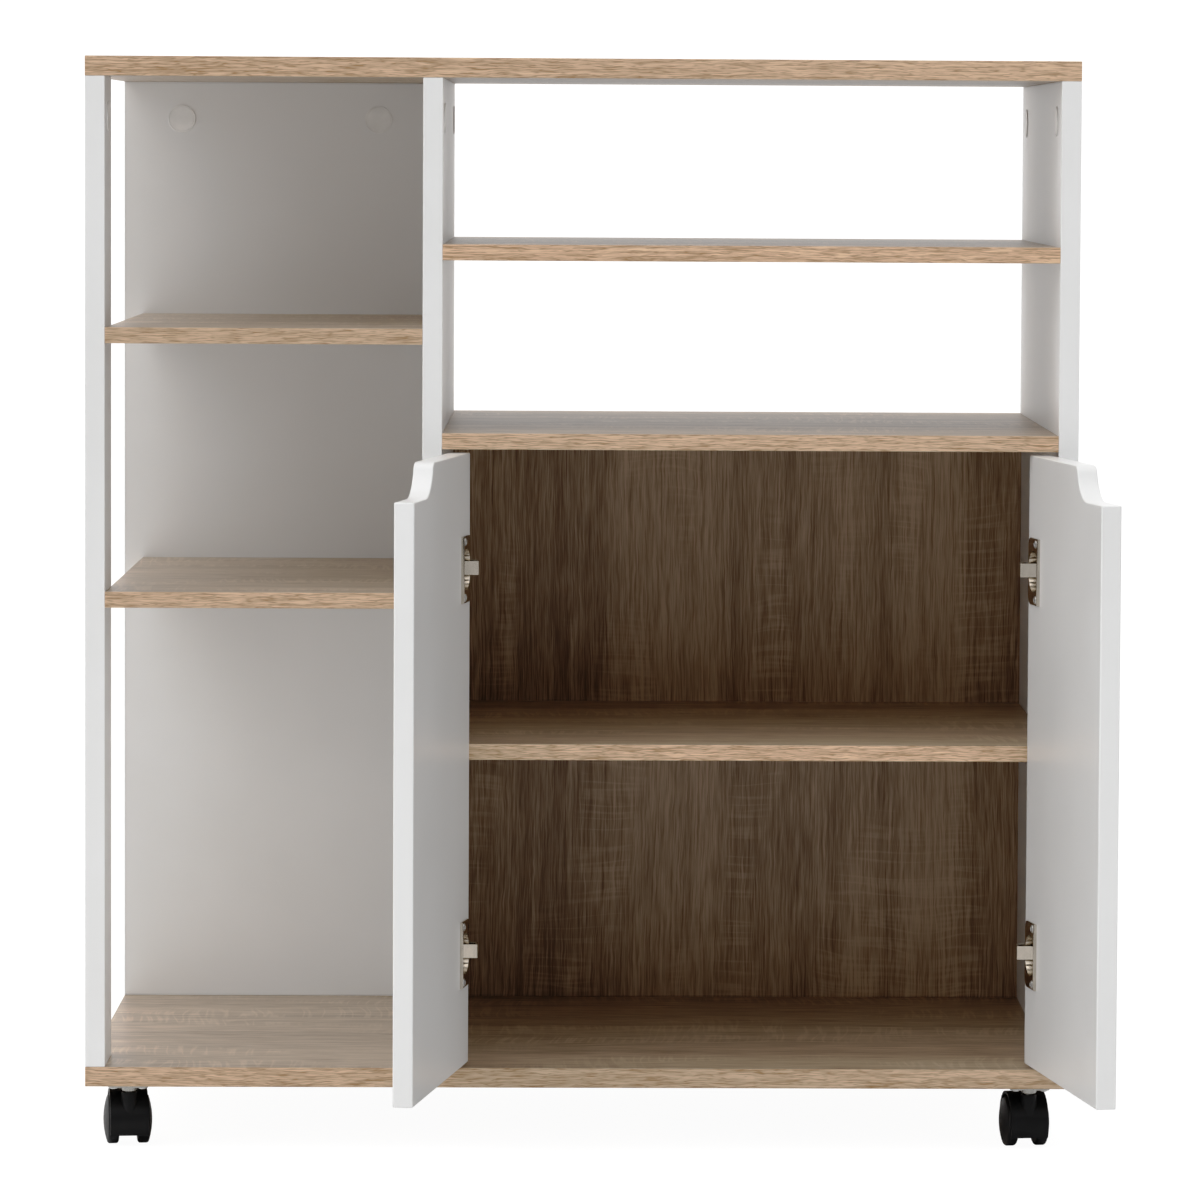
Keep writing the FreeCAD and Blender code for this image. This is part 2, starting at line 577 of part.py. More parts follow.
def make_arm(name, level, face, side):
    """The fixed arm of a hinge: a sleeve on the pin, a hook round the door's edge and a channel."""
    piece = Piece(name)
    bottom = f"({level} - arm_tall / 2)"

    def sheet_block(low, y, z, long, deep, tall, cut=False):
        piece.box(out_from(face, side, low, long), y, z, long, deep, tall, cut=cut)

    pivot_x = f"({face} {side} pivot_side)"
    piece.rod(pivot_x, "pivot_depth", bottom, "+z", "knuckle_radius", "arm_tall")
    sheet_block("pivot_side", "pivot_depth - arm_sheet / 2", bottom, "hook_reach - pivot_side",
                "arm_sheet", "arm_tall")
    sheet_block("hook_reach - arm_sheet", "pivot_depth - arm_sheet / 2", bottom, "arm_sheet",
                "hook_back - pivot_depth + arm_sheet / 2", "arm_tall")
    bend = value(f"{face} {side} hook_reach")

    def outer_bend(edge):
        return straight((0, 0, 1))(edge) and abs(edge.Vertexes[0].X - bend) < sheet.get("arm_sheet") / 2

    piece.soften("arm_bend", outer_bend)
    channel_bottom = f"({level} - channel_tall / 2)"
    sheet_block("channel_lift", "hook_back - arm_sheet", bottom, "hook_reach - arm_sheet - channel_lift",
                "arm_sheet", "arm_tall")
    sheet_block("plate_thick + channel_foot_gap", "hook_back - arm_sheet", channel_bottom,
                "channel_lift + arm_sheet - plate_thick - channel_foot_gap",
                "channel_back - hook_back + arm_sheet", "channel_tall")
    sheet_block("plate_thick + channel_foot_gap - overrun", "hook_back", f"{channel_bottom} + channel_sheet",
                "channel_lift - plate_thick - channel_foot_gap + overrun",
                "channel_back - hook_back + overrun", "channel_tall - 2 * channel_sheet", cut=True)
    piece.rod(pivot_x, "pivot_depth", f"{bottom} - overrun", "+z", "pin_radius + running_gap",
              "arm_tall + 2 * overrun", cut=True)
    for y in ("arm_screw_front", "arm_screw_back"):
        drill(piece, f"({face} {side} (channel_lift + arm_sheet))", y, level, OPPOSITE[side + "x"],
              "arm_screw_radius", "arm_sheet + overrun")
    to_frame(piece.body)


def make_plate(name, level, face, side):
    """The mounting plate of a hinge: a base with two wings, and a spine under the arm."""
    piece = Piece(name)

    inwards = OPPOSITE[side + "x"]

    def block(low, y, z, long, deep, tall):
        piece.box(out_from(face, side, low, long), y, z, long, deep, tall)

    def wing_corner(edge):
        height = abs(edge.Vertexes[0].Z - value(level))
        return straight((1, 0, 0))(edge) and abs(height - sheet.get("wing_tall") / 2) < SAME

    block("0", "plate_front", f"{level} - plate_tall / 2", "plate_thick", "plate_back - plate_front",
          "plate_tall")
    piece.soften("plate_round", straight((1, 0, 0)))
    block("0", "wing_line - wing_long / 2", f"{level} - wing_tall / 2", "plate_thick", "wing_long",
          "wing_tall")
    piece.soften("plate_round", wing_corner)
    block("plate_thick", "plate_front", f"{level} - spine_tall / 2", "channel_lift - spine_gap - plate_thick",
          "plate_back - plate_front", "spine_tall")
    for half in "-+":
        drill(piece, f"({face} {side} plate_thick)", "wing_line", f"({level} {half} wing_screw_pitch / 2)",
              inwards, "wing_screw_radius", "plate_thick + overrun")
    for y in ("arm_screw_front", "arm_screw_back"):
        drill(piece, f"({face} {side} (channel_lift - spine_gap))", y, level, inwards,
              "arm_screw_radius", "arm_screw_length - arm_sheet - spine_gap + hole_play")
    to_frame(piece.body)


def primitive(kind, x, y, z, turn, **formulas):
    """A plain solid that a group of fasteners is made from."""
    item = doc.addObject(kind, "Solid")
    size(item, **formulas)
    put(item, x, y, z, turn)
    return item


def cylinder(x, y, z, axis, radius, length):
    return primitive("Part::Cylinder", x, y, z, AXES[axis], Radius=radius, Height=length)


def joined(*parts):
    """One solid from touching parts."""
    item = doc.addObject("Part::MultiFuse", "Joined")
    item.Shapes = list(parts)
    return item


def group(label, solids):
    """A node of like pieces that stay separate solids."""
    item = doc.addObject("Part::Compound", label)
    item.Label = label
    item.Links = solids
    NODES[label] = item
    return item


def headed_screw(x, y, z, axis, head_radius, head, radius, length):
    """A screw driven along an axis through a face, with a flat head standing on that face."""
    start = shifted(x, y, z, OPPOSITE[axis], head)
    shank = cylinder(x, y, z, axis, radius, length)
    return joined(cylinder(*start, axis, head_radius, head), shank)


def sunk_screw(x, y, z, axis):
    """A long board screw with its tapered head flush in the face."""
    head = primitive("Part::Cone", x, y, z, AXES[axis], Radius1="long_head_radius",
                     Radius2="long_screw_radius", Height="long_head")
    return joined(head, cylinder(x, y, z, axis, "long_screw_radius", "long_screw_length"))


def make_hinges():
    """Doors, cups, arms, mounting plates, pins and hinge screws for both sides."""
    wing_screws = []
    arm_screws = []
    for hand, (panel, face, side) in HINGE_SIDES.items():
        make_door(f"{hand}_door", face, side)
        pins = []
        flange_screws = []
        inwards = OPPOSITE[side + "x"]
        for place, level in HINGE_LEVELS.items():
            make_cup(f"{hand}_{place}_hinge_cup", level, face, side)
            make_arm(f"{hand}_{place}_hinge_arm", level, face, side)
            make_plate(f"{hand}_{place}_hinge_plate", level, face, side)
            pins.append(cylinder("0", "0", f"{level} - pin_length / 2", "+z", "pin_radius", "pin_length"))
            for z in cup_screws(level):
                flange_screws.append(headed_screw(
                    cup_screw_line(side), f"({INNER_FACE} + flange_thick)", z, "-y",
                    "small_head_radius", "small_head", "small_screw_radius", "cup_screw_length"))
            for half in "-+":
                wing_screws.append(headed_screw(
                    f"({face} {side} plate_thick)", "wing_line", f"({level} {half} wing_screw_pitch / 2)",
                    inwards, "wing_head_radius", "wing_head", "wing_screw_radius",
                    "wing_screw_length + plate_thick"))
            for y in ("arm_screw_front", "arm_screw_back"):
                arm_screws.append(headed_screw(
                    f"({face} {side} (channel_lift + arm_sheet))", y, level, inwards,
                    "small_head_radius", "small_head", "arm_screw_radius", "arm_screw_length"))
        hang(group(f"{hand}_hinge_pins", pins), face, side)
        hang(group(f"{hand}_cup_screws", flange_screws), face, side)
    to_frame(group("hinge_plate_screws", wing_screws))
    to_frame(group("hinge_arm_screws", arm_screws))


def castor_frame(item, x, y, turn):
    """Places a castor piece drawn from the swivel axis at floor level."""
    put(item, f"{x} - {ORIGIN_X}", f"{y} - {ORIGIN_Y}", "0", (turn, 0, 0))


def make_castor(place, x, y, turn):
    """A twin-wheel castor: screwed plate with its stem, hood, axle and two wheels."""
    plate = Piece(f"castor_{place}_plate")
    low = "-castor_plate / 2"
    stem_foot = f"({SOCKET_FLOOR} + stem_end_gap)"
    plate.box(low, low, PLATE_FOOT, "castor_plate", "castor_plate", "castor_plate_thick")
    plate.soften("castor_plate_round", straight((0, 0, 1)))
    plate.rod("0", "0", PLATE_FOOT, "-z", "boss_radius", "boss_tall")
    plate.soften("boss_round", ring("boss_radius", BOSS_FOOT))
    plate.rod("0", "0", stem_foot, "+z", "stem_radius", f"{PLATE_FOOT} - {stem_foot}")
    for screw_x, screw_y in castor_corners("0", "0"):
        drill(plate, screw_x, screw_y, CASTOR_TALL, "-z", "castor_screw_radius",
              "castor_plate_thick + overrun")
    castor_frame(plate.body, x, y, "0")

    hood = Piece(f"castor_{place}_hood")
    inside = "(wheel_radius + hood_gap)"
    hood.rod("-hood_half", "wheel_offset", "wheel_radius", "+x", HOOD_REACH, "2 * hood_half")
    for start, axis in (("web_half", "+x"), ("-web_half", "-x")):
        hood.rod(start, "wheel_offset", "wheel_radius", axis, inside, "hood_half - web_half + overrun",
                 cut=True)
    below = f"(wheel_radius - {HOOD_REACH} - overrun)"
    hood.box("-hood_half - overrun", f"wheel_offset - {HOOD_REACH} - overrun", below,
             "2 * (hood_half + overrun)", f"2 * ({HOOD_REACH} + overrun)", f"hood_foot - {below}", cut=True)
    hood.box("-hood_half - overrun", "wheel_offset + hub_radius", below, "2 * (hood_half + overrun)",
             f"{HOOD_REACH} + overrun - hub_radius", f"wheel_radius - {below}", cut=True)
    hood.rod("0", "0", "wheel_radius", "+z", "socket_radius", f"{SOCKET_TOP} - wheel_radius")
    hood.rod("0", "0", SOCKET_FLOOR, "+z", "stem_radius + running_gap",
             f"{SOCKET_TOP} - {SOCKET_FLOOR} + overrun", cut=True)
    hood.rod("-web_half - overrun", "wheel_offset", "wheel_radius", "+x", "axle_radius + hole_play",
             "2 * (web_half + overrun)", cut=True)
    castor_frame(hood.body, x, y, turn)

    axle = Piece(f"castor_{place}_axle")
    axle.rod("-axle_half", "wheel_offset", "wheel_radius", "+x", "axle_radius", "2 * axle_half")
    castor_frame(axle.body, x, y, turn)

    for hand, axis, sign in (("left", "-x", "-"), ("right", "+x", "+")):
        wheel = Piece(f"castor_{place}_{hand}_wheel")
        wheel.rod(f"{sign}wheel_inner", "wheel_offset", "wheel_radius", axis, "wheel_radius", "wheel_tread")
        ball = "((wheel_radius ^ 2 + wheel_dome ^ 2) / (2 * wheel_dome))"
        wheel.last = wheel.body.newObject("PartDesign::AdditiveSphere", "Dome")
        size(wheel.last, Radius=ball, Angle1=f"acos(wheel_radius / {ball})")
        put(wheel.last, f"{sign}(wheel_inner + wheel_tread + wheel_dome - {ball})", "wheel_offset",
            "wheel_radius", AXES[axis])
        wheel.soften("wheel_round", ring("wheel_radius"))
        wheel.rod(f"{sign}(wheel_inner - overrun)", "wheel_offset", "wheel_radius", axis,
                  "axle_radius + running_gap", "axle_half + axle_end_gap - wheel_inner + overrun", cut=True)
        castor_frame(wheel.body, x, y, turn)


def make_castors():
    """The four castors and the screws that hold their plates."""
    screws = []
    for place, (x, y, turn) in CASTORS.items():
        make_castor(place, x, y, turn)
        for screw_x, screw_y in castor_corners(x, y):
            screws.append(headed_screw(screw_x, screw_y, PLATE_FOOT, "+z",
                                       "castor_head_radius", "castor_head", "castor_screw_radius",
                                       "castor_screw_length"))
    to_frame(group("castor_screws", screws))


def make_fasteners():
    """Cam fittings, long screws, caps, dowels and shelf pins."""
    locks = []
    covers = []
    bolts = []
    for stations in CAMS.values():
        for station in stations:
            x, y, axis = station
            body = cylinder(x, y, CAM_LEVEL, axis, "cam_radius", "cam_depth")
            bolt_x, bolt_y = bolt_line(station)
            slot = cylinder(bolt_x, bolt_y, CAM_LEVEL, "+z", "cam_bolt_radius + hole_play",
                            "cam_radius + overrun")
            lock = doc.addObject("Part::Cut", "Lock")
            lock.Base = body
            lock.Tool = slot
            locks.append(lock)
            covers.append(cylinder(x, y, CAM_LEVEL, OPPOSITE[axis], "cover_radius", "cover_thick"))
            bolts.append(cylinder(bolt_x, bolt_y, CAM_LEVEL, "+z", "cam_bolt_radius",
                                  "cam_drop + cam_bolt_bite"))
    to_frame(group("cam_locks", locks))
    to_frame(group("cam_covers", covers))
    to_frame(group("cam_bolts", bolts))

    screws = []
    caps = []
    for stations in FOOT_SCREWS.values():
        for x, y in stations:
            screws.append(sunk_screw(x, y, CASTOR_TALL, "+z"))
    for shelf in LEFT_SHELVES + RIGHT_SHELVES:
        for panel, x, y, z, axis in side_screws(shelf):
            screws.append(sunk_screw(x, y, z, axis))
            caps.append(cylinder(x, y, z, OPPOSITE[axis], "cap_radius", "cap_thick"))
    to_frame(group("long_screws", screws))
    to_frame(group("screw_caps", caps))

    dowels = []
    for pair, x, y, z, axis in DOWELS:
        back = shifted(x, y, z, OPPOSITE[axis], "dowel_length - dowel_bite")
        dowels.append(cylinder(*back, axis, "dowel_radius", "dowel_length"))
    to_frame(group("dowels", dowels))

    pins = []
    for panel, x, y, z, axis in SHELF_PINS:
        back = shifted(x, y, z, OPPOSITE[axis], "shelf_pin_bite")
        pins.append(joined(cylinder(*back, axis, "shelf_pin_radius", "shelf_pin_bite + shelf_pin_reach"),
                           cylinder(x, y, z, axis, "shelf_pin_collar", "shelf_pin_collar_thick")))
    to_frame(group("shelf_pins", pins))


make_carcass()
make_hinges()
make_castors()
make_fasteners()
doc.recompute()

faults = [item.Label for item in doc.Objects if "Invalid" in item.State or "Error" in item.State]
for label, item in NODES.items():
    if item.Shape.isNull() or not item.Shape.isValid() or not item.Shape.Solids:
        faults.append(label)
if faults:
    raise RuntimeError("not built: " + ", ".join(sorted(set(faults))))

os.makedirs("parts", exist_ok=True)
for label, item in NODES.items():
    item.Shape.exportStep(f"parts/{label}.step")
    print(label, len(item.Shape.Solids), round(item.Shape.Volume, 1))
print(len(NODES), "nodes; origin at", round(value(ORIGIN_X), 3), round(value(ORIGIN_Y), 3))
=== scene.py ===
import math

import bmesh
import bpy
import numpy as np
from mathutils import Matrix, Vector


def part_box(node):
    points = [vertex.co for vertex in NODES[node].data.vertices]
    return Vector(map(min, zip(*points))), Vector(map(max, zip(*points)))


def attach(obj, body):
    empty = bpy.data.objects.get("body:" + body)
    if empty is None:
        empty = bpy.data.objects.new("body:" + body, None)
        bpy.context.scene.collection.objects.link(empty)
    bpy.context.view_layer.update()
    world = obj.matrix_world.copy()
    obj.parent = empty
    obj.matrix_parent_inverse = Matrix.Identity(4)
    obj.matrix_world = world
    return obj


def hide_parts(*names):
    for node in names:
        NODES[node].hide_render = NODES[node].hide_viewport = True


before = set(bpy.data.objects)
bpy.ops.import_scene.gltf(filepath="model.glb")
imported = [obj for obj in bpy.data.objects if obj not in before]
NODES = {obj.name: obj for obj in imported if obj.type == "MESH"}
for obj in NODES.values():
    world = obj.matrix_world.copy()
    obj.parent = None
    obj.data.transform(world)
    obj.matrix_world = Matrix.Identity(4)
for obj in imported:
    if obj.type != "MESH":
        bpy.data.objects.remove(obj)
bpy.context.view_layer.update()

MM = 0.001
X, Y, Z = 0, 1, 2

# The cart's own front left corner, in the frame
LEFT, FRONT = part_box("bottom_board")[0][:2]


def place(x, y, z):
    """A point given in millimetres from the cart's front left corner on the floor."""
    return Vector((LEFT + x * MM, FRONT + y * MM, z * MM))


# ---------------------------------------------------------------- shader nodes

def plug(tree, socket, value):
    """Gives a socket a number or a colour, or links another socket to it."""
    if isinstance(value, bpy.types.NodeSocket):
        tree.links.new(value, socket)
    else:
        socket.default_value = value


def maths(tree, operation, *values):
    """A new math node."""
    node = tree.nodes.new("ShaderNodeMath")
    node.operation = operation
    for socket, value in zip(node.inputs, values):
        plug(tree, socket, value)
    return node


# Most of a noise's values lie between these
NOISE_LOW, NOISE_HIGH = 0.3, 0.7


class Graph:
    """A material's node tree with short calls for the nodes used here."""

    def __init__(self, name, roughness, metallic=0.0):
        self.mat = bpy.data.materials.new(name)
        self.mat.use_nodes = True
        self.tree = self.mat.node_tree
        self.shader = self.tree.nodes["Principled BSDF"]
        self.shader.inputs["Roughness"].default_value = roughness
        self.shader.inputs["Metallic"].default_value = metallic
        coords = self.tree.nodes.new("ShaderNodeTexCoord")
        self.spot, self.normal = coords.outputs["Object"], coords.outputs["Normal"]

    def plug(self, socket, value):
        plug(self.tree, socket, value)

    def math(self, operation, *values, clamp=False):
        node = maths(self.tree, operation, *values)
        node.use_clamp = clamp
        return node.outputs[0]

    def split(self, vector):
        node = self.tree.nodes.new("ShaderNodeSeparateXYZ")
        self.plug(node.inputs[0], vector)
        return node.outputs

    def join(self, x, y, z):
        node = self.tree.nodes.new("ShaderNodeCombineXYZ")
        for socket, value in zip(node.inputs, (x, y, z)):
            self.plug(socket, value)
        return node.outputs[0]

    def noise(self, vector, scale=1.0, detail=2.0, roughness=0.5):
        node = self.tree.nodes.new("ShaderNodeTexNoise")
        self.plug(node.inputs["Vector"], vector)
        node.inputs["Scale"].default_value = scale
        node.inputs["Detail"].default_value = detail
        node.inputs["Roughness"].default_value = roughness
        return node.outputs[0]

    def spread(self, value, low, high, to_low=0.0, to_high=1.0):
        """Maps low..high to to_low..to_high, held at the ends."""
        node = self.tree.nodes.new("ShaderNodeMapRange")
        node.clamp = True
        ends = {"From Min": low, "From Max": high, "To Min": to_low, "To Max": to_high}
        for name, number in ends.items():
            self.plug(node.inputs[name], number)
        self.plug(node.inputs["Value"], value)
        return node.outputs[0]

    def vary(self, noise, to_low, to_high):
        """Maps a noise to to_low..to_high."""
        return self.spread(noise, NOISE_LOW, NOISE_HIGH, to_low, to_high)

    def mix(self, factor, a, b):
        node = self.tree.nodes.new("ShaderNodeMix")
        node.data_type = "RGBA"
        self.plug(node.inputs[0], factor)
        self.plug(node.inputs[6], a)
        self.plug(node.inputs[7], b)
        return node.outputs[2]

    def bump(self, height, distance, strength):
        node = self.tree.nodes.new("ShaderNodeBump")
        node.inputs["Strength"].default_value = strength
        node.inputs["Distance"].default_value = distance
        self.plug(node.inputs["Height"], height)
        self.plug(self.shader.inputs["Normal"], node.outputs[0])

    def colour(self, value):
        self.plug(self.shader.inputs["Base Color"], value)

    def roughness(self, value):
        self.plug(self.shader.inputs["Roughness"], value)


def shaded(colour, tint=(1, 1, 1)):
    """A colour times a tint, as the four numbers that a socket takes."""
    return tuple(part * by for part, by in zip(colour, tint)) + (1,)


def facing(graph, axis):
    """1 on faces square to an axis, 0 on the others."""
    size = graph.math("ABSOLUTE", graph.split(graph.normal)[axis])
    return graph.math("GREATER_THAN", size, 0.7)


# ---------------------------------------------------------------- boards

# The glued edge band shows on a board's large faces as a hairline: how far in from the
# board's edge it lies, and how far from its middle it is darkest and has faded out
BAND_THICK = 1.1 * MM
SEAM_DARK, SEAM_GONE = 0.1 * MM, 0.3 * MM


def band_seam(graph, node, thin):
    """1 on the hairline of the edge band on a board that is thin along one axis."""
    low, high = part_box(node)
    spot = graph.split(graph.spot)
    nearest = None
    for axis in (X, Y, Z):
        if axis == thin:
            continue
        gap = graph.math("MINIMUM", graph.math("SUBTRACT", spot[axis], low[axis]),
                         graph.math("SUBTRACT", high[axis], spot[axis]))
        nearest = gap if nearest is None else graph.math("MINIMUM", nearest, gap)
    off = graph.math("ABSOLUTE", graph.math("SUBTRACT", nearest, BAND_THICK))
    line = graph.spread(off, SEAM_DARK, SEAM_GONE, 1.0, 0.0)
    return graph.math("MULTIPLY", line, facing(graph, thin))


OAK_FACE = (0.218, 0.147, 0.093), (0.598, 0.464, 0.332)
OAK_BAND = (0.325, 0.178, 0.086), (0.670, 0.497, 0.322)
OAK_SEAM = (0.18, 0.12, 0.08, 1)
PLANK_JOINT = 1.5 * MM


def oak(name, node, axes, seed, band_painted_light, face_painted_tint, saw_strength, roughness, planks=()):
    """Light oak decor, its edge bands warmer and more streaked than its faces.

    The axes are the one along the grain, the one across it and the one the board is thin
    along. Each plank is a place across the board and the change of tone from there on.
    """
    along, across, thin = axes
    graph = Graph(name, roughness)
    graph.shader.inputs["IOR"].default_value = 1.4
    spot = graph.split(graph.spot)
    end = facing(graph, along)
    not_end = graph.math("SUBTRACT", 1.0, end)

    def pick(on_end, elsewhere):
        return graph.math("ADD", graph.math("MULTIPLY", on_end, end),
                          graph.math("MULTIPLY", elsewhere, not_end))

    # Places along and across the grain on every face, with the bands' grain along the band
    length = pick(spot[across], spot[along])
    width = pick(graph.math("ADD", spot[thin], spot[along]),
                 graph.math("ADD", spot[across], spot[thin]))

    def grain(per_length, per_width, shift=0.0, detail=2.0, fine=0.5):
        """A noise that changes so many times a metre along and across the grain."""
        at = graph.join(graph.math("MULTIPLY_ADD", length, per_length, seed * 7.3 + shift),
                        graph.math("MULTIPLY_ADD", width, per_width, seed * 3.1 + shift),
                        seed * 1.7)
        return graph.noise(at, detail=detail, roughness=fine)

    def off_middle(noise):
        return graph.math("SUBTRACT", noise, 0.5)

    def swing(noise, size):
        return graph.vary(noise, -size, size)

    # Light saw marks cross the grain in long rows, bowed a little
    patches = grain(4.0, 17.0, 5.0, detail=1.0)
    bow = grain(7.0, 9.0, 9.0, detail=1.0)
    crossing = graph.math("MULTIPLY_ADD", bow, 3.0,
                          graph.math("MULTIPLY_ADD", length, 125.0, seed * 2.9))
    saw_spot = graph.join(crossing, graph.math("MULTIPLY", width, 8.0), seed * 4.1)
    off_line = graph.math("ABSOLUTE", off_middle(graph.noise(saw_spot, detail=1.0)))
    saw = graph.math("MULTIPLY", graph.spread(patches, 0.50, 0.62),
                     graph.spread(off_line, 0.0, 0.08, 1.0, 0.0))

    # The grain lines wander a little across the board, in long waves and short ones
    sway = off_middle(grain(3.0, 9.0))
    width = graph.math("MULTIPLY_ADD", sway, 12 * MM, width)
    wiggle = off_middle(grain(60.0, 120.0, 4.0, detail=1.0))
    width = graph.math("MULTIPLY_ADD", wiggle, 2.2 * MM, width)

    bands = grain(1.2, 34.0, 1.0)
    streaks = grain(6.0, 380.0, 2.0, fine=0.6)
    lines = grain(30.0, 1000.0, 3.0, fine=0.6)
    dashes = grain(44.0, 1000.0, 7.0, fine=0.6)
    rings = grain(36.0, 680.0, 8.0, fine=0.55)

    tone = graph.math("ADD", swing(bands, 0.36),
                      graph.math("ADD", swing(streaks, 0.38), swing(lines, 0.85)))
    tone = graph.math("MULTIPLY_ADD", saw, saw_strength, tone)
    for start, change in planks:
        step = graph.spread(spot[across], start, start + PLANK_JOINT, 0.0, change)
        tone = graph.math("ADD", tone, step)
    # Painted light: the face tint makes this board's faces lighter or darker for the light that
    # falls on them
    face_colour = graph.mix(graph.spread(tone, -1.0, 1.0),
                            *(shaded(colour, face_painted_tint) for colour in OAK_FACE))

    level = graph.math("ADD", graph.spread(dashes, 0.34, 0.60, 0.38, 0.98),
                       graph.math("ADD", swing(streaks, 0.16), swing(bands, 0.10)))
    ring_line = graph.spread(graph.math("ABSOLUTE", off_middle(rings)), 0.01, 0.06, 0.62, 0.0)
    level = graph.math("SUBTRACT", level, ring_line, clamp=True)
    # Painted light: the band factor makes this board's edge bands lighter or darker for the light
    # that falls on them
    band_colour = graph.mix(level, *(shaded(colour, (band_painted_light,) * 3) for colour in OAK_BAND))

    on_band = graph.math("SUBTRACT", 1.0, facing(graph, thin))
    colour = graph.mix(on_band, face_colour, band_colour)
    seam = graph.math("MULTIPLY", band_seam(graph, node, thin), 0.5)
    graph.colour(graph.mix(seam, colour, OAK_SEAM))
    graph.roughness(graph.vary(lines, roughness + 0.045, roughness - 0.045))
    relief = graph.math("ADD", graph.math("MULTIPLY", lines, 0.6),
                        graph.math("MULTIPLY", dashes, 0.4))
    graph.bump(relief, 0.08 * MM, 0.6)
    return graph.mat


def melamine(name, node, thin):
    """White board: a satin face with a faint pearl texture and a seam where the band is glued."""
    graph = Graph(name, 0.38)
    cloud = graph.noise(graph.spot, 9.0)
    colour = graph.mix(graph.spread(cloud, 0.35, 0.65),
                       (0.820, 0.820, 0.815, 1), (0.845, 0.846, 0.845, 1))
    seam = graph.math("MULTIPLY", band_seam(graph, node, thin), 0.35)
    graph.colour(graph.mix(seam, colour, (0.35, 0.34, 0.33, 1)))
    pearl = graph.noise(graph.spot, 1100.0, roughness=0.6)
    graph.roughness(graph.vary(pearl, 0.34, 0.44))
    graph.bump(pearl, 0.04 * MM, 0.35)
    return graph.mat


def wrapped(name):
    """White foil wrapped over a door: smooth satin with a slight orange peel."""
    graph = Graph(name, 0.33)
    cloud = graph.noise(graph.spot, 7.0)
    graph.colour(graph.mix(graph.spread(cloud, 0.35, 0.65),
                           (0.825, 0.826, 0.822, 1), (0.850, 0.852, 0.850, 1)))
    graph.roughness(graph.vary(cloud, 0.31, 0.37))
    graph.bump(graph.noise(graph.spot, 260.0), 0.06 * MM, 0.25)
    return graph.mat


# ---------------------------------------------------------------- small parts

def metal(name, colour, roughness):
    """Plated steel with faint rub marks, drawn out upwards."""
    graph = Graph(name, roughness, metallic=1.0)
    x, y, z = graph.split(graph.spot)
    drawn = graph.join(x, y, graph.math("MULTIPLY", z, 0.15))
    marks = graph.noise(drawn, 420.0, detail=3.0, roughness=0.6)
    cloud = graph.noise(graph.spot, 90.0)
    graph.colour(graph.mix(graph.vary(cloud, 0.0, 1.0),
                           shaded(colour, (0.82,) * 3), shaded(colour)))
    graph.roughness(graph.vary(marks, roughness * 0.8, roughness * 1.25))
    graph.bump(marks, 0.03 * MM, 0.3)
    return graph.mat


def plastic(name, colour, roughness, gloss, grain=0.05 * MM):
    """Moulded plastic with a fine spark texture."""
    graph = Graph(name, roughness)
    graph.shader.inputs["Specular IOR Level"].default_value = gloss
    spark = graph.noise(graph.spot, 1500.0, roughness=0.6)
    cloud = graph.noise(graph.spot, 60.0)
    pale = shaded([min(1.0, part * 1.18 + 0.001) for part in colour])
    graph.colour(graph.mix(graph.vary(cloud, 0.0, 1.0), shaded(colour), pale))
    graph.roughness(graph.vary(spark, roughness * 0.88, roughness * 1.1))
    graph.bump(spark, grain, 0.5)
    return graph.mat


def beech(name):
    """Plain beech, its grain along x."""
    graph = Graph(name, 0.6)
    x, y, z = graph.split(graph.spot)
    drawn = graph.join(x, graph.math("MULTIPLY", y, 9.0), graph.math("MULTIPLY", z, 9.0))
    grain = graph.noise(drawn, 60.0, detail=3.0)
    graph.colour(graph.mix(grain, (0.42, 0.26, 0.13, 1), (0.62, 0.44, 0.26, 1)))
    graph.bump(grain, 0.1 * MM, 0.5)
    return graph.mat


# ---------------------------------------------------------------- who wears what

def dress(node, mat):
    """Gives a CAD node its material."""
    mesh = NODES[node].data
    mesh.materials.clear()
    mesh.materials.append(mat)


# Each flat board with the brightness of its edge bands, the brightness of its faces and its
# roughness. Both brightness factors are painted light: they make each board's copy of the oak
# lighter or darker to stand in for the light that falls on it
FLAT_BOARDS = [
    ("top_board", 1.09, 1.0, 0.355),
    ("bottom_board", 1.06, 1.02, 0.355),
    ("left_lower_shelf", 1.02, 1.0, 0.355),
    ("left_upper_shelf", 0.97, 1.02, 0.355),
    ("open_shelf", 1.20, 1.0, 0.355),
    ("cabinet_top_shelf", 1.11, 1.12, 0.41),
    ("cabinet_inner_shelf", 1.27, 1.10, 0.355),
]
for seed, (node, band_painted_light, face_painted_light, roughness) in enumerate(FLAT_BOARDS, start=1):
    dress(node, oak("oak_" + node, node, (X, Y, Z), seed, band_painted_light, (face_painted_light,) * 3,
                    saw_strength=0.68, roughness=roughness))

# The cabinet's back shows planks: where each begins, in millimetres, and its change of tone
BACK_PLANKS = [(300, -0.25), (422, 0.45), (530, -0.15), (640, 0.1), (735, -0.35)]
# Painted shade: the back's faces are tinted darker and browner than the other boards' to stand in
# for the shade deep inside the cabinet
dress("cabinet_back_panel", oak("oak_cabinet_back", "cabinet_back_panel", (Z, X, Y), 11, 0.9,
                                (0.98, 0.94, 0.92), saw_strength=0.5, roughness=0.355,
                                planks=[(place(x, 0, 0)[0], tone) for x, tone in BACK_PLANKS]))

for node, thin in (("centre_panel", X), ("right_side_panel", X), ("left_front_post", X),
                   ("left_back_panel", Y)):
    dress(node, melamine("white_" + node, node, thin))

nickel = metal("hinge_nickel", (0.56, 0.50, 0.42), 0.19)
zinc = metal("zinc_screw", (0.74, 0.74, 0.73), 0.3)
cap_white = plastic("cap_white", (0.80, 0.795, 0.78), 0.35, 0.5, 0.03 * MM)

